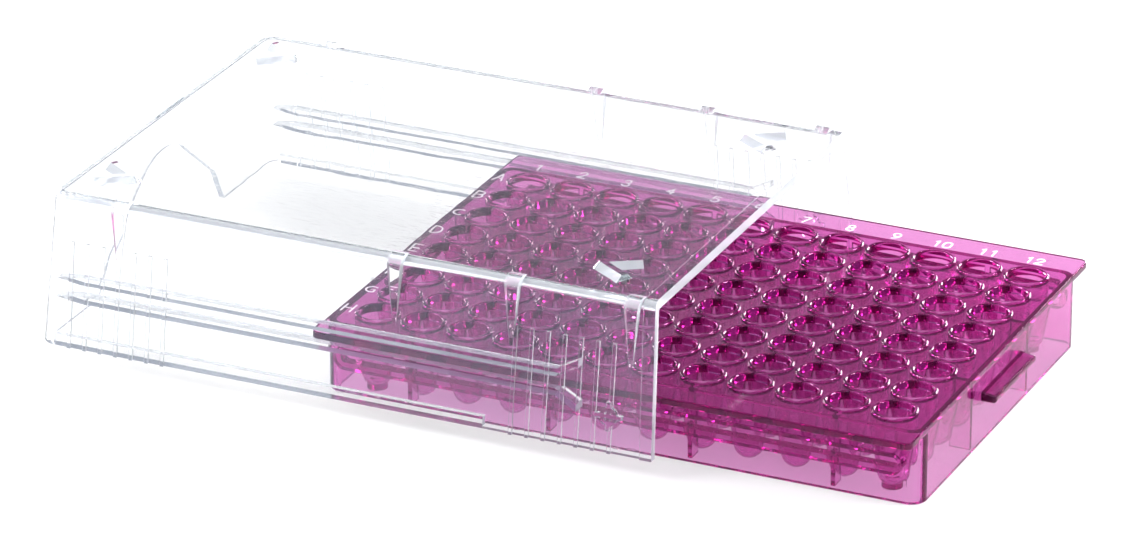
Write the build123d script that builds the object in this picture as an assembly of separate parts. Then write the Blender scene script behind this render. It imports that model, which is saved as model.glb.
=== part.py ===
"""Rack for 96 thin-walled 0.2 mL tubes with a one-piece cover that slides along its rim.

Millimetres. X runs along the columns (1 to 12), Y across the rows (row A at +Y), Z up. The origin is the
centre of the rack's footprint, on the surface it stands on. The cover is modelled slid half off towards -X.
"""

from build123d import *
import math
import os

OVERLAP = 1.0  # how far a shape runs past the face it cuts or is trimmed to

# Well grid: the 9 mm pitch shared by all 96-well ware
PITCH = 9.0
COLUMNS = 12
ROWS = 8
ROW_NAMES = "ABCDEFGH"

# Rack moulding
RACK_LENGTH = 114.2
RACK_WIDTH = 86.8
RACK_HEIGHT = 14.1
DECK_THICKNESS = 1.4
FLANGE_CORNER = 1.5
FLANGE_EDGE = 0.35
SKIRT_WIDTH = 76.0
SKIRT_WALL = 1.3
SKIRT_CORNER = 3.0

# Wells: a straight mouth that grips the tube's collar, then a taper to a round, closed tip
WELL_RADIUS = 3.35
WELL_STRAIGHT = 3.4
LIP_RISE = 0.4
LIP_RADIUS = 0.4
LIP_EDGE = 0.35
SOCKET_RADIUS = 4.15
TIP_RADIUS = 2.0
TIP_WALL = 0.8
TIP_CLEARANCE = 0.25
POST_RADIUS = 1.9

# Stiffening ribs between the skirt and the outer sockets
RIB_WIDTH = 1.1
RIB_FOOT_WIDTH = 0.8
RIB_FOOT = 0.4
RIB_COLUMNS = (2, 5, 8, 11)
RIB_ROWS = (2, 5)

# Hollow bead along each long side, and the finger tab on each end
BEAD_LENGTH = 108.6
BEAD_HEIGHT = 4.1
BEAD_CENTRE = 8.05
BEAD_DEPTH = 2.0
BEAD_WALL = 1.1
TAB_WIDTH = 20.0
TAB_REACH = 2.8
TAB_TOP = 10.1
TAB_THICKNESS = 2.0
TAB_FALL = 0.6
TAB_EDGE = 0.6

# Printed marks
INK = 0.05
LETTER_HEIGHT = 3.0
NUMBER_HEIGHT = 2.4
STROKE = 0.34
LETTER_X = -55.3
NUMBER_Y = 38.7
NUMBER_SHIFT = -1.1
SIGN_ADVANCE = 0.85  # from one digit to the next, over the height
STROKES = {
    "A": [((-0.3, -0.5), (0, 0.5)), ((0, 0.5), (0.3, -0.5)), ((-0.18, -0.1), (0.18, -0.1))],
    "B": [
        ((-0.28, -0.5), (-0.28, 0.5)),
        ((-0.28, 0.5), (0, 0.5)),
        ((0, 0.5), (0.24, 0.26), (0, 0.02)),
        ((-0.28, 0.02), (0.02, 0.02)),
        ((0.02, 0.02), (0.28, -0.24), (0.02, -0.5)),
        ((0.02, -0.5), (-0.28, -0.5)),
    ],
    "C": [((0.28, 0.33), (-0.3, 0), (0.28, -0.33))],
    "D": [
        ((-0.28, -0.5), (-0.28, 0.5)),
        ((-0.28, 0.5), (-0.1, 0.5)),
        ((-0.1, 0.5), (0.3, 0), (-0.1, -0.5)),
        ((-0.1, -0.5), (-0.28, -0.5)),
    ],
    "E": [
        ((-0.27, -0.5), (-0.27, 0.5)),
        ((-0.27, 0.5), (0.27, 0.5)),
        ((-0.27, 0), (0.2, 0)),
        ((-0.27, -0.5), (0.27, -0.5)),
    ],
    "F": [((-0.27, -0.5), (-0.27, 0.5)), ((-0.27, 0.5), (0.27, 0.5)), ((-0.27, 0), (0.2, 0))],
    "G": [
        ((0.28, 0.33), (-0.3, 0), (0.28, -0.33)),
        ((0.28, -0.33), (0.28, -0.03)),
        ((0.28, -0.03), (0.04, -0.03)),
    ],
    "H": [((-0.29, -0.5), (-0.29, 0.5)), ((0.29, -0.5), (0.29, 0.5)), ((-0.29, 0), (0.29, 0))],
    "0": [
        ((-0.3, -0.2), (-0.3, 0.2)),
        ((-0.3, 0.2), (0, 0.5), (0.3, 0.2)),
        ((0.3, 0.2), (0.3, -0.2)),
        ((0.3, -0.2), (0, -0.5), (-0.3, -0.2)),
    ],
    "1": [((-0.15, 0.32), (0.06, 0.5)), ((0.06, 0.5), (0.06, -0.5))],
    "2": [((-0.28, 0.25), (0, 0.5), (0.27, 0.18)), ((0.27, 0.18), (-0.3, -0.5)), ((-0.3, -0.5), (0.3, -0.5))],
    "3": [((-0.25, 0.38), (0.24, 0.27), (-0.04, 0.03)), ((-0.04, 0.03), (0.28, -0.26), (-0.28, -0.38))],
    "4": [((0.12, -0.5), (0.12, 0.5)), ((0.12, 0.5), (-0.3, -0.2)), ((-0.3, -0.2), (0.3, -0.2))],
    "5": [
        ((0.26, 0.5), (-0.22, 0.5)),
        ((-0.22, 0.5), (-0.27, 0.05)),
        ((-0.27, 0.05), (0.3, -0.18), (-0.28, -0.4)),
    ],
    "6": [
        ((0.2, 0.5), (-0.2, 0.17), (-0.28, -0.22)),
        ((-0.28, -0.22), (0, 0.06), (0.28, -0.22)),
        ((0.28, -0.22), (0, -0.5), (-0.28, -0.22)),
    ],
    "7": [((-0.3, 0.5), (0.3, 0.5)), ((0.3, 0.5), (-0.08, -0.5))],
    "8": [
        ((-0.23, 0.26), (0, 0.5), (0.23, 0.26)),
        ((0.23, 0.26), (0, 0.03), (-0.23, 0.26)),
        ((-0.28, -0.24), (0, 0.03), (0.28, -0.24)),
        ((0.28, -0.24), (0, -0.5), (-0.28, -0.24)),
    ],
    "9": [
        ((-0.28, 0.22), (0, 0.5), (0.28, 0.22)),
        ((0.28, 0.22), (0, -0.06), (-0.28, 0.22)),
        ((0.28, 0.22), (0.2, -0.17), (-0.2, -0.5)),
    ],
}  # pen strokes on a cell one unit high: two points make a line, three an arc

# Cover moulding: plan sizes at its bottom edge and at its top plane
COVER_BOTTOM = 3.0
COVER_TOP = 31.2
HALF_BOTTOM = 46.35
HALF_TOP = 42.45
CLOSED_BOTTOM = -110.9
CLOSED_TOP = -109.8
MOUTH_BOTTOM = 10.3
MOUTH_TOP = 9.3
COVER_WALL = 1.15
COVER_ROOF = 1.4
COVER_EDGE = 1.6
COVER_CORNER = 3.4
ROOF_FILLET = 0.6
PAST = 20.0  # how far a cutting block runs beyond the cover

# Mouth rim, finger ribs and lifting claws on the outside of the cover
RIM_LENGTH = 2.3
RIM_RISE = 0.35
FINGER_PITCH = 3.15
FINGER_COUNT = 7
FINGER_WIDTH = 0.7
FINGER_RISE = 0.4
FINGER_TOP = 22.8
FINGER_STARTS = (-16.8, -104.5)
CLAW_PLACES = (5.2, -17.6, -40.3, -95.0)
CLAW_WIDTH = 2.8
CLAW_TIP_WIDTH = 0.6
CLAW_BOTTOM = 19.0
CLAW_FACE = 44.3
CLAW_CROWN = 2.4
CLAW_START = 38.2
CLAW_RISE = 0.5

# Guides inside the cover that hold the rack's flange, and the ledge along its bottom edge
GUIDE_INNER = 41.6
GUIDE_THICKNESS = 1.3
GUIDE_UPPER = 15.2
GUIDE_LOWER = 11.75
GUIDE_START = -108.0
GUIDE_POINT = 5.0
GUIDE_FUNNEL = -9.1
GUIDE_END = -4.9
FUNNEL_RISE = 2.3
FUNNEL_FALL = 2.3
LEDGE_INNER = 43.9
LEDGE_TOP = 4.7
LEDGE_END = -22.6

# Arch in the cover's closed end, and the small raised marks on its faces
ARCH_TOP = 22.5
ARCH_SHOULDER = (9.5, 18.6)
ARCH_FLANK = (20.6, 10.0)
ARCH_FOOT = 25.2
CHEVRON_ARM = 7.0
CHEVRON_ANGLE = 33
CHEVRON_FOOT = 3.4
CHEVRON_CREST = 1.2
CHEVRON_RISE = 1.2
CHEVRON_X = (-5.6, -98.4)
CHEVRON_Y = 32.0
STAR_X = 1.8
STAR_Z = 9.8
STAR_RING = 1.7
STAR_ARM = 2.6
STAR_WIDTH = 0.8
STAR_RISE = 0.8


def well_centres():
    """Centre of every well, row by row from A, column by column from 1."""
    return [
        ((column - (COLUMNS - 1) / 2) * PITCH, ((ROWS - 1) / 2 - row) * PITCH)
        for row in range(ROWS)
        for column in range(COLUMNS)
    ]


def rounded_plate(length, width, bottom, top, radius):
    """Upright-edged plate with rounded corners, centred on the origin in plan."""
    outline = RectangleRounded(length, width, radius)
    return Pos(0, 0, bottom) * extrude(outline, top - bottom)


def prism_along_y(points, start, end):
    """Closed XZ outline carried from y = start to y = end."""
    face = make_face(Polyline(*[(x, start, z) for x, z in points], close=True))
    return extrude(face, end - start, dir=(0, 1, 0))


def prism_along_x(points, start, end):
    """Closed YZ outline carried from x = start to x = end."""
    face = make_face(Polyline(*[(start, y, z) for y, z in points], close=True))
    return extrude(face, end - start, dir=(1, 0, 0))


def both_sides(solid):
    """A piece on the row H side and its mirror image on the row A side."""
    return [solid, mirror(solid, Plane.XZ)]


def revolved(edges):
    """Solid of revolution about Z from connected XZ edges that close on the axis."""
    return revolve(make_face(edges), Axis.Z)


def socket_outside():
    """Outer form of one socket: rounded lip, slow taper, hemispherical tip just off the table."""
    tip = TIP_RADIUS + TIP_WALL
    tip_centre = TIP_CLEARANCE + tip
    shoulder = RACK_HEIGHT - WELL_STRAIGHT
    top = RACK_HEIGHT + LIP_RISE
    bend = LIP_EDGE * (1 - math.sqrt(0.5))
    low = tip * math.sqrt(0.5)
    return revolved(
        [
            ThreePointArc((0, 0, tip_centre - tip), (low, 0, tip_centre - low), (tip, 0, tip_centre)),
            Line((tip, 0, tip_centre), (SOCKET_RADIUS, 0, shoulder)),
            Line((SOCKET_RADIUS, 0, shoulder), (SOCKET_RADIUS, 0, top - LIP_EDGE)),
            ThreePointArc(
                (SOCKET_RADIUS, 0, top - LIP_EDGE),
                (SOCKET_RADIUS - bend, 0, top - bend),
                (SOCKET_RADIUS - LIP_EDGE, 0, top),
            ),
            Line((SOCKET_RADIUS - LIP_EDGE, 0, top), (0, 0, top)),
            Line((0, 0, top), (0, 0, tip_centre - tip)),
        ]
    )


def socket_inside():
    """Space inside one socket, from above its lip to its tip."""
    tip_centre = TIP_CLEARANCE + TIP_WALL + TIP_RADIUS
    shoulder = RACK_HEIGHT - WELL_STRAIGHT
    top = RACK_HEIGHT + LIP_RISE
    above = top + OVERLAP
    bend = LIP_RADIUS * (1 - math.sqrt(0.5))
    low = TIP_RADIUS * math.sqrt(0.5)
    mouth = WELL_RADIUS + LIP_RADIUS
    return revolved(
        [
            ThreePointArc(
                (0, 0, tip_centre - TIP_RADIUS), (low, 0, tip_centre - low), (TIP_RADIUS, 0, tip_centre)
            ),
            Line((TIP_RADIUS, 0, tip_centre), (WELL_RADIUS, 0, shoulder)),
            Line((WELL_RADIUS, 0, shoulder), (WELL_RADIUS, 0, top - LIP_RADIUS)),
            ThreePointArc(
                (WELL_RADIUS, 0, top - LIP_RADIUS), (WELL_RADIUS + bend, 0, top - bend), (mouth, 0, top)
            ),
            Line((mouth, 0, top), (mouth, 0, above)),
            Line((mouth, 0, above), (0, 0, above)),
            Line((0, 0, above), (0, 0, tip_centre - TIP_RADIUS)),
        ]
    )


def skirt():
    """Four upright walls under the deck, open below."""
    outside = rounded_plate(RACK_LENGTH, SKIRT_WIDTH, 0, RACK_HEIGHT - DECK_THICKNESS / 2, SKIRT_CORNER)
    inside = rounded_plate(
        RACK_LENGTH - 2 * SKIRT_WALL,
        SKIRT_WIDTH - 2 * SKIRT_WALL,
        -OVERLAP,
        RACK_HEIGHT,
        SKIRT_CORNER - SKIRT_WALL,
    )
    return outside - inside


def side_rib(x):
    """Tapered web from the front wall to the row H socket at this column."""
    top = RACK_HEIGHT - DECK_THICKNESS / 2
    outline = [
        (x - RIB_FOOT_WIDTH / 2, RIB_FOOT),
        (x + RIB_FOOT_WIDTH / 2, RIB_FOOT),
        (x + RIB_WIDTH / 2, top),
        (x - RIB_WIDTH / 2, top),
    ]
    socket_y = -(ROWS - 1) / 2 * PITCH
    return prism_along_y(outline, -SKIRT_WIDTH / 2 + SKIRT_WALL / 2, socket_y - TIP_RADIUS - TIP_WALL / 2)


def end_rib(y):
    """Tapered web from the left end wall to the column 1 socket of this row."""
    top = RACK_HEIGHT - DECK_THICKNESS / 2
    outline = [
        (y - RIB_FOOT_WIDTH / 2, RIB_FOOT),
        (y + RIB_FOOT_WIDTH / 2, RIB_FOOT),
        (y + RIB_WIDTH / 2, top),
        (y - RIB_WIDTH / 2, top),
    ]
    socket_x = -(COLUMNS - 1) / 2 * PITCH
    return prism_along_x(outline, -RACK_LENGTH / 2 + SKIRT_WALL / 2, socket_x - TIP_RADIUS - TIP_WALL / 2)


def bead(grow, start, end):
    """Round-ended bar along the front wall, grown all round by a given amount, between two depths."""
    outline = SlotOverall(BEAD_LENGTH + 2 * grow, BEAD_HEIGHT + 2 * grow)
    return Pos(0, -start, BEAD_CENTRE) * (Rot(90, 0, 0) * extrude(outline, end - start))


def end_tab():
    """Finger tab on the right end wall, its top falling away outwards."""
    root = RACK_LENGTH / 2 - SKIRT_WALL / 2
    tip = RACK_LENGTH / 2 + TAB_REACH
    profile = [
        (root, TAB_TOP - TAB_THICKNESS),
        (tip, TAB_TOP - TAB_THICKNESS),
        (tip, TAB_TOP - TAB_FALL),
        (root, TAB_TOP),
    ]
    tab = prism_along_y(profile, -TAB_WIDTH / 2, TAB_WIDTH / 2)
    free = [edge for edge in tab.edges() if edge.center().X > root + SKIRT_WALL / 4]
    return fillet(free, TAB_EDGE)


def rack_base():
    """The whole rack: deck, flange, skirt, ribs, beads, tabs and sockets as one moulding."""
    deck = rounded_plate(
        RACK_LENGTH, RACK_WIDTH, RACK_HEIGHT - DECK_THICKNESS, RACK_HEIGHT, FLANGE_CORNER
    )
    level = [edge for edge in deck.edges() if edge.bounding_box().size.Z < DECK_THICKNESS / 2]
    deck = fillet(level, FLANGE_EDGE)
    face = SKIRT_WIDTH / 2
    pieces = [skirt()]
    for column in RIB_COLUMNS:
        pieces += both_sides(side_rib((column - (COLUMNS + 1) / 2) * PITCH))
    for row in RIB_ROWS:
        rib = end_rib(((ROWS - 1) / 2 - row) * PITCH)
        pieces += [rib, mirror(rib, Plane.YZ)]
    pieces += both_sides(bead(0, face - SKIRT_WALL / 2, face + BEAD_DEPTH))
    tab = end_tab()
    pieces += [tab, mirror(tab, Plane.YZ)]
    outer = socket_outside()
    pieces += [Pos(x, y, 0) * outer for x, y in well_centres()]
    post = extrude(Circle(POST_RADIUS), TIP_CLEARANCE + TIP_WALL)
    corner_x = (COLUMNS - 1) / 2 * PITCH
    corner_y = (ROWS - 1) / 2 * PITCH
    pieces += [Pos(x, y, 0) * post for x in (-corner_x, corner_x) for y in (-corner_y, corner_y)]
    body = deck.fuse(*pieces)
    inner = socket_inside()
    hollows = both_sides(bead(-BEAD_WALL, face - SKIRT_WALL - OVERLAP, face + BEAD_DEPTH - BEAD_WALL))
    hollows += [Pos(x, y, 0) * inner for x, y in well_centres()]
    return body.cut(*hollows)


def stroke(points, height):
    """One round-ended pen stroke: a line through two points or an arc through three, on a unit cell."""
    scaled = [(x * height, y * height) for x, y in points]
    path = Line(*scaled) if len(scaled) == 2 else ThreePointArc(*scaled)
    face = trace(path, STROKE)
    for x, y in (scaled[0], scaled[-1]):
        face += Pos(x, y) * Circle(STROKE / 2)
    return face


def printed(text, height, x, y):
    """Solids of one printed mark standing on the deck, centred on a point."""
    solids = []
    for place, sign in enumerate(text):
        shift = (place - (len(text) - 1) / 2) * SIGN_ADVANCE * height
        glyph = Sketch() + [stroke(points, height) for points in STROKES[sign]]
        solids += (Pos(x + shift, y, RACK_HEIGHT) * extrude(glyph, INK)).solids()
    return solids


def row_letters():
    """The letters A to H down the left edge of the deck."""
    places = [((ROWS - 1) / 2 - row) * PITCH for row in range(ROWS)]
    marks = [printed(name, LETTER_HEIGHT, LETTER_X, y) for name, y in zip(ROW_NAMES, places)]
    return Compound([solid for mark in marks for solid in mark])


def column_numbers():
    """The numbers 1 to 12 along the back edge of the deck."""
    places = [(column - (COLUMNS - 1) / 2) * PITCH + NUMBER_SHIFT for column in range(COLUMNS)]
    marks = [printed(str(n + 1), NUMBER_HEIGHT, x, NUMBER_Y) for n, x in enumerate(places)]
    return Compound([solid for mark in marks for solid in mark])


def at_height(bottom, top, z):
    """A cover dimension at height z, from its values at the bottom edge and at the top plane."""
    return bottom + (top - bottom) * (z - COVER_BOTTOM) / (COVER_TOP - COVER_BOTTOM)


def cover_block(inset, roof, past_mouth, below):
    """Tapered block that follows the cover's outside, drawn in by inset on its sides and by roof on top."""
    low = COVER_BOTTOM - below
    high = COVER_TOP - roof
    side = [
        (at_height(CLOSED_BOTTOM, CLOSED_TOP, low) + inset, low),
        (at_height(MOUTH_BOTTOM, MOUTH_TOP, low) + past_mouth, low),
        (at_height(MOUTH_BOTTOM, MOUTH_TOP, high) + past_mouth, high),
        (at_height(CLOSED_BOTTOM, CLOSED_TOP, high) + inset, high),
    ]
    half_low = at_height(HALF_BOTTOM, HALF_TOP, low) - inset
    half_high = at_height(HALF_BOTTOM, HALF_TOP, high) - inset
    front = [(-half_low, low), (half_low, low), (half_high, high), (-half_high, high)]
    width = 2 * half_low + PAST
    return prism_along_y(side, -width / 2, width / 2) & prism_along_x(
        front, CLOSED_BOTTOM - PAST, MOUTH_BOTTOM + PAST + past_mouth
    )


def rounded_block(inset, roof, past_mouth, below, corner, edge):
    """The same block with rounded upright corners at its closed end and rounded long top edges."""
    block = cover_block(inset, roof, past_mouth, below)
    upright = [e for e in block.edges() if e.bounding_box().size.Z > COVER_TOP / 2]
    closed = sorted(upright, key=lambda e: e.center().X)[:2]
    block = fillet(closed, corner)
    roof_edges = [
        e
        for e in block.edges()
        if e.bounding_box().min.Z > COVER_TOP - roof - 0.01 and e.center().X < MOUTH_TOP + past_mouth - 0.1
    ]
    return fillet(roof_edges, edge)


def mouth_band(rise):
    """Block around the last stretch of the cover before its mouth, standing proud by rise."""
    low = COVER_BOTTOM
    high = COVER_TOP + rise
    near_low = at_height(MOUTH_BOTTOM, MOUTH_TOP, low)
    near_high = at_height(MOUTH_BOTTOM, MOUTH_TOP, high)
    slab = prism_along_y(
        [(near_low - RIM_LENGTH, low), (near_low, low), (near_high, high), (near_high - RIM_LENGTH, high)],
        -HALF_BOTTOM - PAST,
        HALF_BOTTOM + PAST,
    )
    return slab & rounded_block(-rise, -rise, PAST, 0, COVER_CORNER, COVER_EDGE)


def finger_ribs():
    """Upright grip ribs near both ends of both long walls."""
    proud = cover_block(-FINGER_RISE, 0, 0, 0)
    height = FINGER_TOP - COVER_BOTTOM
    bars = [
        Pos(start + n * FINGER_PITCH, 0, COVER_BOTTOM + height / 2)
        * Box(FINGER_WIDTH, 2 * HALF_BOTTOM + PAST, height)
        for start in FINGER_STARTS
        for n in range(FINGER_COUNT)
    ]
    return [bar & proud for bar in bars]


def claw(x):
    """Wedge over the front top edge: it rises from the roof, bends round and runs out to a point."""
    top = COVER_TOP + CLAW_RISE
    crown = top - CLAW_CROWN
    arc_y = CLAW_FACE - CLAW_CROWN
    bend = CLAW_CROWN * math.sqrt(0.5)
    start = (x, -CLAW_START, COVER_TOP - COVER_ROOF / 2)
    foot = (x, -at_height(HALF_BOTTOM, HALF_TOP, CLAW_BOTTOM), CLAW_BOTTOM)
    profile = make_face(
        [
            Line(start, (x, -arc_y, top)),
            ThreePointArc((x, -arc_y, top), (x, -arc_y - bend, crown + bend), (x, -CLAW_FACE, crown)),
            Line((x, -CLAW_FACE, crown), foot),
            Line(foot, start),
        ]
    )
    side = Pos(-CLAW_WIDTH, 0, 0) * extrude(profile, 2 * CLAW_WIDTH, dir=(1, 0, 0))
    front = prism_along_y(
        [
            (x - CLAW_TIP_WIDTH / 2, CLAW_BOTTOM - OVERLAP),
            (x + CLAW_TIP_WIDTH / 2, CLAW_BOTTOM - OVERLAP),
            (x + CLAW_WIDTH / 2, top),
            (x - CLAW_WIDTH / 2, top),
        ],
        -HALF_BOTTOM - OVERLAP,
        -CLAW_START,
    )
    return side & front


def guide(level, rise):
    """Rail inside the front wall: pointed at the closed end, straight, then flared by rise at the mouth."""
    half = GUIDE_THICKNESS / 2
    outline = [
        (GUIDE_START, level),
        (GUIDE_START + GUIDE_POINT, level - half),
        (GUIDE_FUNNEL, level - half),
        (GUIDE_END, level + rise - half),
        (GUIDE_END, level + rise + half),
        (GUIDE_FUNNEL, level + half),
        (GUIDE_START + GUIDE_POINT, level + half),
    ]
    return prism_along_y(outline, -HALF_BOTTOM - OVERLAP, -GUIDE_INNER)


def inner_ledge():
    """Ledge inside the front wall along its bottom edge."""
    length = LEDGE_END - GUIDE_START
    centre = (LEDGE_END + GUIDE_START) / 2
    depth = HALF_BOTTOM + OVERLAP - LEDGE_INNER
    height = LEDGE_TOP - COVER_BOTTOM
    return Pos(centre, -LEDGE_INNER - depth / 2, COVER_BOTTOM + height / 2) * Box(length, depth, height)


def arch():
    """Bell-shaped opening through the closed end wall, which lets the rack's end tab pass."""
    right = [(ARCH_FOOT, COVER_BOTTOM - OVERLAP), ARCH_FLANK, ARCH_SHOULDER]
    left = [(-y, z) for y, z in reversed(right)]
    x = CLOSED_BOTTOM - OVERLAP
    edges = [
        Line((x, *a), (x, *b))
        for side in (right, left)
        for a, b in zip(side, side[1:])
    ]
    edges.append(ThreePointArc((x, *ARCH_SHOULDER), (x, 0, ARCH_TOP), (x, *left[0])))
    edges.append(Line((x, *left[-1]), (x, *right[0])))
    return extrude(make_face(edges), CLOSED_TOP - CLOSED_BOTTOM + 3 * COVER_WALL, dir=(1, 0, 0))


def chevron():
    """Arrowhead of two sloped bars and a round nose: it stands at the origin and points towards -X."""
    foot = CHEVRON_FOOT / 2
    crest = CHEVRON_CREST / 2
    section = [(-foot, 0), (foot, 0), (crest, CHEVRON_RISE), (-crest, CHEVRON_RISE)]
    bar = prism_along_x(section, 0, CHEVRON_ARM)
    nose = Pos(0, 0, CHEVRON_RISE / 2) * Cone(foot, crest, CHEVRON_RISE)
    return nose + (Rot(0, 0, CHEVRON_ANGLE) * bar) + (Rot(0, 0, -CHEVRON_ANGLE) * bar)


def chevrons():
    """Two arrowheads near the mouth and two near the closed end, each pair pointing at the other."""
    near_mouth = chevron()
    near_end = mirror(near_mouth, Plane.YZ)
    return [
        Pos(x, y, COVER_TOP) * mark
        for x, mark in zip(CHEVRON_X, (near_mouth, near_end))
        for y in (-CHEVRON_Y, CHEVRON_Y)
    ]


def star_mark():
    """Small ring with four arms raised on the front wall beside the mouth."""
    ring = Circle(STAR_RING) - Circle(STAR_RING - STAR_WIDTH)
    arms = Rectangle(2 * STAR_ARM, STAR_WIDTH) + Rectangle(STAR_WIDTH, 2 * STAR_ARM)
    depth = HALF_BOTTOM + STAR_RISE - GUIDE_INNER
    mark = Rot(90, 0, 0) * extrude(ring + arms, depth)
    return Pos(STAR_X, -HALF_BOTTOM - STAR_RISE + depth, STAR_Z) * mark


def cover():
    """The sliding cover: a tapered box, open below and at its mouth, with everything moulded on it."""
    outside = rounded_block(0, 0, 0, 0, COVER_CORNER, COVER_EDGE)
    inner_corner = COVER_CORNER - COVER_WALL
    inside = rounded_block(COVER_WALL, COVER_ROOF, PAST, OVERLAP, inner_corner, ROOF_FILLET)
    trim = cover_block(COVER_WALL / 3, 0, 0, 0)
    proud = cover_block(-STAR_RISE, 0, 0, 0)
    additions = [mouth_band(RIM_RISE) - inside]
    additions += [rib - inside for rib in finger_ribs()]
    for x in CLAW_PLACES:
        additions += both_sides(claw(x) - inside)
    additions += both_sides(guide(GUIDE_UPPER, FUNNEL_RISE) & trim)
    additions += both_sides(guide(GUIDE_LOWER, -FUNNEL_FALL) & trim)
    additions += both_sides(inner_ledge() & trim)
    additions += both_sides((star_mark() & proud) - inside)
    additions += chevrons()
    return (outside - inside - arch()).fuse(*additions)


def main():
    os.makedirs("parts", exist_ok=True)
    nodes = {
        "rack_base": rack_base(),
        "row_letters": row_letters(),
        "column_numbers": column_numbers(),
        "cover": cover(),
    }
    for name, shape in nodes.items():
        shape.label = name
        export_step(shape, f"parts/{name}.step")


main()
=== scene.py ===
"""Looks for the tube rack with its sliding cover: transparent plastics, printed marks, studio and camera."""

import math

import bpy
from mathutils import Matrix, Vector

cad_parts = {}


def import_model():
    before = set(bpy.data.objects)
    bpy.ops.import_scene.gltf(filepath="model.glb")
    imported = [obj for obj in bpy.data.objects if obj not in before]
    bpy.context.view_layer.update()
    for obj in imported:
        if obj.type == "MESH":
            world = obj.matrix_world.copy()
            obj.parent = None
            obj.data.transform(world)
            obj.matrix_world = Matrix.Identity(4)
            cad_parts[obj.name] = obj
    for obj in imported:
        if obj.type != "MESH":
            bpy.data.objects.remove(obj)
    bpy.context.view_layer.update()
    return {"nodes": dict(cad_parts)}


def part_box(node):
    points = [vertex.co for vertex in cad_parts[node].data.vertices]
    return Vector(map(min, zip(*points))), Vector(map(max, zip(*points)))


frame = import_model()

# Camera: direction in degrees, distance, lens, and the point on the deck's top plane it aims at
CAMERA_AZIMUTH = 24.665
CAMERA_ELEVATION = 23.741
CAMERA_DISTANCE = 1.189
CAMERA_LENS = 210.72
CAMERA_FAR = 100.0
SENSOR_WIDTH = 36.0
AIM_X = -0.02723
AIM_Y = -0.00174

# Table: half its side, how far it lies below the rack, its shades and glow, and the painted shade under the
# rack, where its glow is lowered
TABLE_HALF = 12.0
TABLE_DROP = 0.0002
TABLE_GRAIN = 30.0
TABLE_DARK = (0.25, 0.25, 0.253, 1.0)
TABLE_PALE = (0.27, 0.27, 0.27, 1.0)
TABLE_GLOW = 2.6
SHADE_DEPTH = 0.5
SHADE_START = 0.008
SHADE_REACH = 0.02

# Studio surround, as (height of the direction looked in, 0 level or below and 1 straight up; colour)
SURROUND = (
    (0.0, (0.8, 0.82, 0.88)),
    (0.3, (0.28, 0.31, 0.37)),
    (0.55, (0.28, 0.31, 0.37)),
    (1.0, (0.6, 0.62, 0.7)),
)

# Softboxes: name, (width, height) in metres, power in watts, azimuth and elevation in degrees, distance
LAMPS = (
    ("left_softbox", (0.6, 0.35), 24.0, -65.0, 40.0, 1.4),
    ("right_softbox", (0.6, 0.35), 24.0, 113.0, 40.0, 1.4),
    ("rear_left_softbox", (0.7, 0.45), 24.0, -118.0, 14.0, 1.4),
    ("rear_right_softbox", (0.7, 0.45), 24.0, 169.0, 14.0, 1.4),
    ("top_softbox", (0.8, 0.5), 3.0, 10.0, 80.0, 1.5),
)
LIGHT_BOUNCES = 32
GLOSSY_BOUNCES = 24
DIFFUSE_BOUNCES = 3

# Moulded plastic: noise scales in features per metre, heights in metres
FLOW_SCALE = 55.0
SCUFF_SCALE = 260.0
SCUFF_SHARE = 0.36
SCUFF_EDGE = 0.08
SCUFF_HEIGHT = 0.000004
SCUFF_ROUGHNESS = 0.05
DUST_SCALE = 900.0
DUST_SPREAD = 2.2
EDGE_RADIUS = 0.0002
EDGE_TURN = (0.8, 0.98)
EDGE_ROUGHNESS = 0.08

# Cover: where its closed end starts, the underside of its upper walls, and how strongly its chosen faces are
# whitened as painted highlights
CLOSED_END_X = -0.105
RAIL_TOP_Z = 0.024
HIGHLIGHT_FADE = 0.001
SQUARE_ON = (0.85, 0.96)
LEANING = (0.2, 0.42)
END_PAINTED_HIGHLIGHT = 0.35
RADIUS_PAINTED_HIGHLIGHT = 0.3
RAIL_PAINTED_HIGHLIGHT = 0.2

# Printed ink
INK_GRAIN = 2600.0
INK_RELIEF = 0.00001
INK_THIN = (0.78, 0.76, 0.80, 1.0)
INK_FULL = (0.95, 0.95, 0.96, 1.0)


def node_tree(name):
    """New material with its output node; returns (material, node tree, output)."""
    material = bpy.data.materials.new(name)
    material.use_nodes = True
    tree = material.node_tree
    tree.nodes.clear()
    return material, tree, tree.nodes.new("ShaderNodeOutputMaterial")


def put(tree, kind, **values):
    """Adds a node and sets its inputs (by name, with _ for spaces) or its own properties."""
    node = tree.nodes.new(kind)
    for key, value in values.items():
        socket = node.inputs.get(key.replace("_", " "))
        if socket is not None:
            socket.default_value = value
        else:
            setattr(node, key, value)
    return node


def object_place(tree):
    """X, Y and Z outputs of the object-space place."""
    where = put(tree, "ShaderNodeTexCoord")
    place = put(tree, "ShaderNodeSeparateXYZ")
    tree.links.new(where.outputs["Object"], place.inputs["Vector"])
    return place.outputs


def noise(tree, scale, detail, roughness=0.5):
    """Object-space noise, scale in features per metre."""
    where = put(tree, "ShaderNodeTexCoord")
    texture = put(tree, "ShaderNodeTexNoise", Scale=scale, Detail=detail, Roughness=roughness)
    tree.links.new(where.outputs["Object"], texture.inputs["Vector"])
    return texture.outputs["Fac"]


def remap(tree, source, low, high, out_low, out_high):
    """Linear remap of a value, clamped."""
    node = put(tree, "ShaderNodeMapRange", clamp=True)
    node.inputs["From Min"].default_value = low
    node.inputs["From Max"].default_value = high
    node.inputs["To Min"].default_value = out_low
    node.inputs["To Max"].default_value = out_high
    tree.links.new(source, node.inputs["Value"])
    return node.outputs["Result"]


def mask(tree, source, low, high):
    """0 below low, 1 above high."""
    return remap(tree, source, low, high, 0.0, 1.0)


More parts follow.
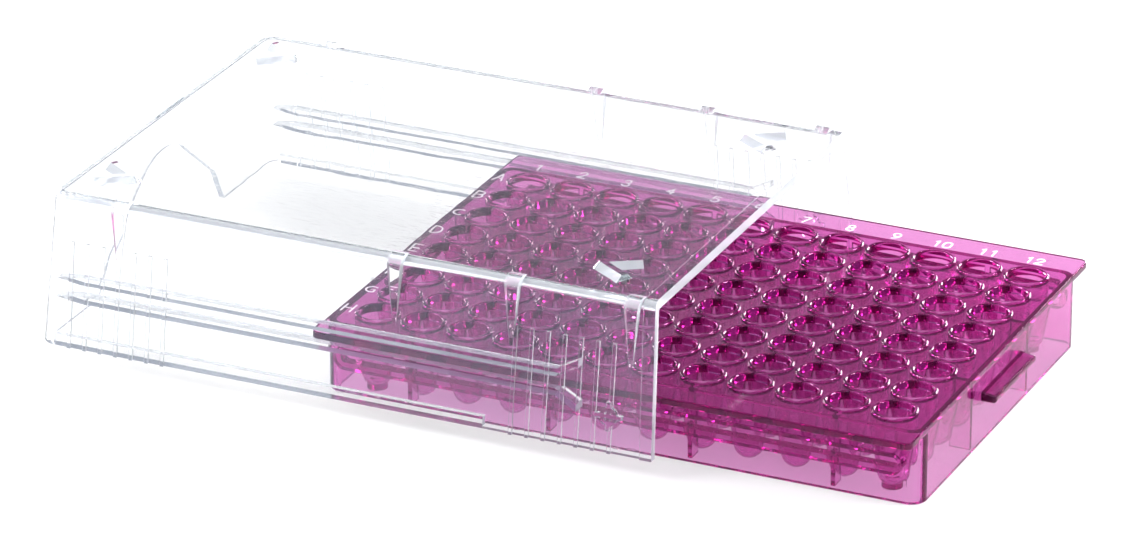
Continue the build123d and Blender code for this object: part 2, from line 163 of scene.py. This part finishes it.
def product(tree, first, second):
    """First times second, with no limits."""
    node = put(tree, "ShaderNodeMath", operation="MULTIPLY")
    tree.links.new(first, node.inputs[0])
    tree.links.new(second, node.inputs[1])
    return node.outputs[0]


def size_of(tree, value):
    """A value without its sign."""
    node = put(tree, "ShaderNodeMath", operation="ABSOLUTE")
    tree.links.new(value, node.inputs[0])
    return node.outputs[0]


def total(tree, base, *shares):
    """base plus each (mask, amount)."""
    for share, amount in shares:
        add = put(tree, "ShaderNodeMath", operation="MULTIPLY_ADD")
        tree.links.new(share, add.inputs[0])
        add.inputs[1].default_value = amount
        tree.links.new(base, add.inputs[2])
        base = add.outputs[0]
    return base


def bump(tree, height, distance, below=None):
    """Bump from a height in 0..1, standing distance metres high, on top of another normal."""
    node = put(tree, "ShaderNodeBump", Strength=1.0, Distance=distance)
    tree.links.new(height, node.inputs["Height"])
    if below is not None:
        tree.links.new(below, node.inputs["Normal"])
    return node.outputs["Normal"]


def scratches(tree, scale, share):
    """Fine straight scuffs: stretched noise, thresholded so that only a share shows."""
    where = put(tree, "ShaderNodeTexCoord")
    turn = put(tree, "ShaderNodeMapping")
    turn.inputs["Rotation"].default_value = (0.3, 0.2, 0.9)
    turn.inputs["Scale"].default_value = (1.0, 22.0, 6.0)
    texture = put(tree, "ShaderNodeTexNoise", Scale=scale, Detail=3.0, Roughness=0.6)
    tree.links.new(where.outputs["Object"], turn.inputs["Vector"])
    tree.links.new(turn.outputs["Vector"], texture.inputs["Vector"])
    return mask(tree, texture.outputs["Fac"], 1.0 - share, 1.0 - share + SCUFF_EDGE)


def worn_edges(tree, radius):
    """Mask that is 1 within radius of a sharp edge."""
    rounded = put(tree, "ShaderNodeBevel", samples=4, Radius=radius)
    flat = put(tree, "ShaderNodeNewGeometry")
    turn = put(tree, "ShaderNodeVectorMath", operation="DOT_PRODUCT")
    tree.links.new(rounded.outputs["Normal"], turn.inputs[0])
    tree.links.new(flat.outputs["Normal"], turn.inputs[1])
    return remap(tree, turn.outputs["Value"], *EDGE_TURN, 1.0, 0.0)


def cover_painted_highlights(tree):
    """Faces of the cover whitened with extra cloudy coat as painted highlights: mouth end and rib flanks,
    long radii, rails; each a (mask, amount).
    """
    where = put(tree, "ShaderNodeTexCoord")
    facing = put(tree, "ShaderNodeSeparateXYZ")
    tree.links.new(where.outputs["Normal"], facing.inputs["Vector"])
    place = object_place(tree)
    beyond_end = mask(tree, place["X"], CLOSED_END_X, CLOSED_END_X + HIGHLIGHT_FADE)
    ends = product(tree, mask(tree, facing.outputs["X"], *SQUARE_ON), beyond_end)
    lean = size_of(tree, product(tree, facing.outputs["Y"], facing.outputs["Z"]))
    radii = mask(tree, lean, *LEANING)
    level = mask(tree, size_of(tree, facing.outputs["Z"]), *SQUARE_ON)
    low_down = remap(tree, place["Z"], RAIL_TOP_Z, RAIL_TOP_Z + HIGHLIGHT_FADE, 1.0, 0.0)
    return (ends, END_PAINTED_HIGHLIGHT), (radii, RADIUS_PAINTED_HIGHLIGHT), (product(tree, level, low_down), RAIL_PAINTED_HIGHLIGHT)


def clear_plastic(name, tint, density, ior, surface, gleam, rough, waviness, body, share, worn, marks=None):
    """Polished clear moulding: tinted by depth, a little cloudy, with flow marks, scuffs and worn edges."""
    material, tree, output = node_tree(name)
    flow = noise(tree, FLOW_SCALE, 2.0)
    scuff = scratches(tree, SCUFF_SCALE, SCUFF_SHARE)
    dust = noise(tree, DUST_SCALE, 4.0, 0.65)
    haze = remap(tree, dust, 0.45, 0.75, rough, rough * DUST_SPREAD)
    edge = worn_edges(tree, EDGE_RADIUS)
    normal = bump(tree, scuff, SCUFF_HEIGHT, bump(tree, flow, waviness))
    shader = put(
        tree,
        "ShaderNodeBsdfPrincipled",
        Base_Color=(*surface, 1.0),
        Specular_Tint=(*gleam, 1.0),
        IOR=ior,
        Transmission_Weight=1.0,
    )
    roughness = total(tree, haze, (scuff, SCUFF_ROUGHNESS), (edge, EDGE_ROUGHNESS))
    tree.links.new(roughness, shader.inputs["Roughness"])
    tree.links.new(normal, shader.inputs["Normal"])
    cloud = put(tree, "ShaderNodeBsdfDiffuse", Color=(*body, 1.0))
    tree.links.new(normal, cloud.inputs["Normal"])
    amount = total(tree, remap(tree, dust, 0.3, 0.8, share * 0.7, share * 1.3), (edge, worn))
    # painted highlights: extra white cloudy coat on faces picked by the way they face
    if marks is not None:
        amount = total(tree, amount, *marks(tree))
    mix = tree.nodes.new("ShaderNodeMixShader")
    tree.links.new(amount, mix.inputs[0])
    tree.links.new(shader.outputs["BSDF"], mix.inputs[1])
    tree.links.new(cloud.outputs["BSDF"], mix.inputs[2])
    depth = put(tree, "ShaderNodeVolumeAbsorption", Color=(*tint, 1.0), Density=density)
    tree.links.new(mix.outputs["Shader"], output.inputs["Surface"])
    tree.links.new(depth.outputs["Volume"], output.inputs["Volume"])
    return material


def printed_ink():
    """White screen-printed ink: matt, slightly uneven, thin in places."""
    material, tree, output = node_tree("white_ink")
    grain = noise(tree, INK_GRAIN, 3.0, 0.6)
    coat = put(tree, "ShaderNodeMix", data_type="RGBA")
    coat.inputs["A"].default_value = INK_THIN
    coat.inputs["B"].default_value = INK_FULL
    tree.links.new(mask(tree, grain, 0.35, 0.6), coat.inputs["Factor"])
    shader = put(tree, "ShaderNodeBsdfPrincipled", IOR=1.45)
    tree.links.new(coat.outputs["Result"], shader.inputs["Base Color"])
    tree.links.new(remap(tree, grain, 0.3, 0.7, 0.4, 0.6), shader.inputs["Roughness"])
    tree.links.new(bump(tree, grain, INK_RELIEF), shader.inputs["Normal"])
    tree.links.new(shader.outputs["BSDF"], output.inputs["Surface"])
    return material


def paint(node, material):
    """Gives a CAD node its one material."""
    piece = frame["nodes"][node]
    piece.data.materials.clear()
    piece.data.materials.append(material)


def inside_box(tree, low, high, start, reach):
    """Mask in plan: 0 outside a box and as far as start inside its border, then rising to 1 over reach."""
    place = object_place(tree)
    bands = []
    for n, axis in enumerate("XY"):
        rise = mask(tree, place[axis], low[n] + start, low[n] + start + reach)
        fall = remap(tree, place[axis], high[n] - start - reach, high[n] - start, 1.0, 0.0)
        bands.append(product(tree, rise, fall))
    return product(tree, *bands)


def table():
    """Material of the pale table, which glows a little except in a painted shade under the rack, where the
    glow is lowered.
    """
    material, tree, output = node_tree("table")
    shader = put(tree, "ShaderNodeBsdfPrincipled", Roughness=0.85)
    shade = put(tree, "ShaderNodeMix", data_type="RGBA")
    shade.inputs["A"].default_value = TABLE_DARK
    shade.inputs["B"].default_value = TABLE_PALE
    tree.links.new(noise(tree, TABLE_GRAIN, 3.0), shade.inputs["Factor"])
    tree.links.new(shade.outputs["Result"], shader.inputs["Base Color"])
    tree.links.new(shade.outputs["Result"], shader.inputs["Emission Color"])
    # painted shade: the table's glow is lowered inside the rack's footprint
    under = inside_box(tree, *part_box("rack_base"), SHADE_START, SHADE_REACH)
    glow = remap(tree, under, 0.0, 1.0, TABLE_GLOW, TABLE_GLOW * (1.0 - SHADE_DEPTH))
    tree.links.new(glow, shader.inputs["Emission Strength"])
    tree.links.new(shader.outputs["BSDF"], output.inputs["Surface"])
    return material


def floor():
    """Table top, far larger than the view."""
    mesh = bpy.data.meshes.new("floor")
    side = TABLE_HALF
    corners = [(-side, -side, 0), (side, -side, 0), (side, side, 0), (-side, side, 0)]
    mesh.from_pydata(corners, [], [(0, 1, 2, 3)])
    mesh.materials.append(table())
    sheet = bpy.data.objects.new("floor", mesh)
    bpy.context.scene.collection.objects.link(sheet)
    sheet.location.z = -TABLE_DROP


def direction(azimuth, elevation):
    """Unit vector towards a viewer at these angles in degrees; azimuth 0 looks along +Y."""
    turn, rise = math.radians(azimuth), math.radians(elevation)
    return Vector((math.sin(turn) * math.cos(rise), -math.cos(turn) * math.cos(rise), math.sin(rise)))


def aim(thing, target, azimuth, elevation, distance):
    """Puts a lamp or camera at these angles and this distance from a target, and points it there."""
    back = direction(azimuth, elevation)
    thing.location = target + back * distance
    thing.rotation_euler = back.to_track_quat("Z", "Y").to_euler()
    bpy.context.scene.collection.objects.link(thing)


def area_light(name, size, power, azimuth, elevation, distance):
    """Rectangular softbox aimed at the middle of the rack's footprint."""
    data = bpy.data.lights.new(name, "AREA")
    data.shape = "RECTANGLE"
    data.size, data.size_y = size
    data.energy = power
    aim(bpy.data.objects.new(name, data), Vector(), azimuth, elevation, distance)


def world():
    """Even white studio surround, darker at the horizon so that clear edges show."""
    scene = bpy.context.scene
    scene.world = bpy.data.worlds.new("studio")
    scene.world.use_nodes = True
    tree = scene.world.node_tree
    tree.nodes.clear()
    output = tree.nodes.new("ShaderNodeOutputWorld")
    where = put(tree, "ShaderNodeTexCoord")
    split = put(tree, "ShaderNodeSeparateXYZ")
    ramp = put(tree, "ShaderNodeValToRGB")
    stops = ramp.color_ramp.elements
    while len(stops) < len(SURROUND):
        stops.new(0.5)
    for stop, (position, colour) in zip(stops, SURROUND):
        stop.position = position
        stop.color = (*colour, 1.0)
    background = put(tree, "ShaderNodeBackground", Strength=1.0)
    tree.links.new(where.outputs["Generated"], split.inputs["Vector"])
    tree.links.new(split.outputs["Z"], ramp.inputs["Fac"])
    tree.links.new(ramp.outputs["Color"], background.inputs["Color"])
    tree.links.new(background.outputs["Background"], output.inputs["Surface"])


def camera():
    """Camera at the reference view, aimed at a point on the deck's top plane."""
    data = bpy.data.cameras.new("camera")
    data.sensor_width = SENSOR_WIDTH
    data.lens = CAMERA_LENS
    data.clip_end = CAMERA_FAR
    view = bpy.data.objects.new("camera", data)
    deck_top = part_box("row_letters")[0].z
    aim(view, Vector((AIM_X, AIM_Y, deck_top)), CAMERA_AZIMUTH, CAMERA_ELEVATION, CAMERA_DISTANCE)
    bpy.context.scene.camera = view


def studio():
    """Floor, surround, softboxes, camera, light bounces and plain tone mapping."""
    floor()
    world()
    for lamp in LAMPS:
        area_light(*lamp)
    camera()
    scene = bpy.context.scene
    scene.view_settings.view_transform = "Standard"
    scene.view_settings.look = "None"
    scene.cycles.max_bounces = LIGHT_BOUNCES
    scene.cycles.transmission_bounces = LIGHT_BOUNCES
    scene.cycles.glossy_bounces = GLOSSY_BOUNCES
    scene.cycles.diffuse_bounces = DIFFUSE_BOUNCES


magenta = clear_plastic(
    "magenta_plastic",
    tint=(0.76, 0.0, 0.61),
    density=620.0,
    ior=1.44,
    surface=(1.0, 0.93, 0.985),
    gleam=(1.0, 0.58, 0.92),
    rough=0.015,
    waviness=0.00003,
    body=(0.9, 0.04, 0.52),
    share=0.04,
    worn=0.08,
)
clear = clear_plastic(
    "clear_plastic",
    tint=(0.78, 0.88, 0.91),
    density=14.0,
    ior=1.52,
    surface=(0.985, 0.99, 1.0),
    gleam=(0.66, 0.74, 1.0),
    rough=0.008,
    waviness=0.00003,
    body=(0.92, 0.94, 0.98),
    share=0.01,
    worn=0.15,
    # painted highlights on the cover's mouth end, rib flanks, long radii and rails
    marks=cover_painted_highlights,
)
ink = printed_ink()
paint("rack_base", magenta)
paint("cover", clear)
paint("row_letters", ink)
paint("column_numbers", ink)
studio()
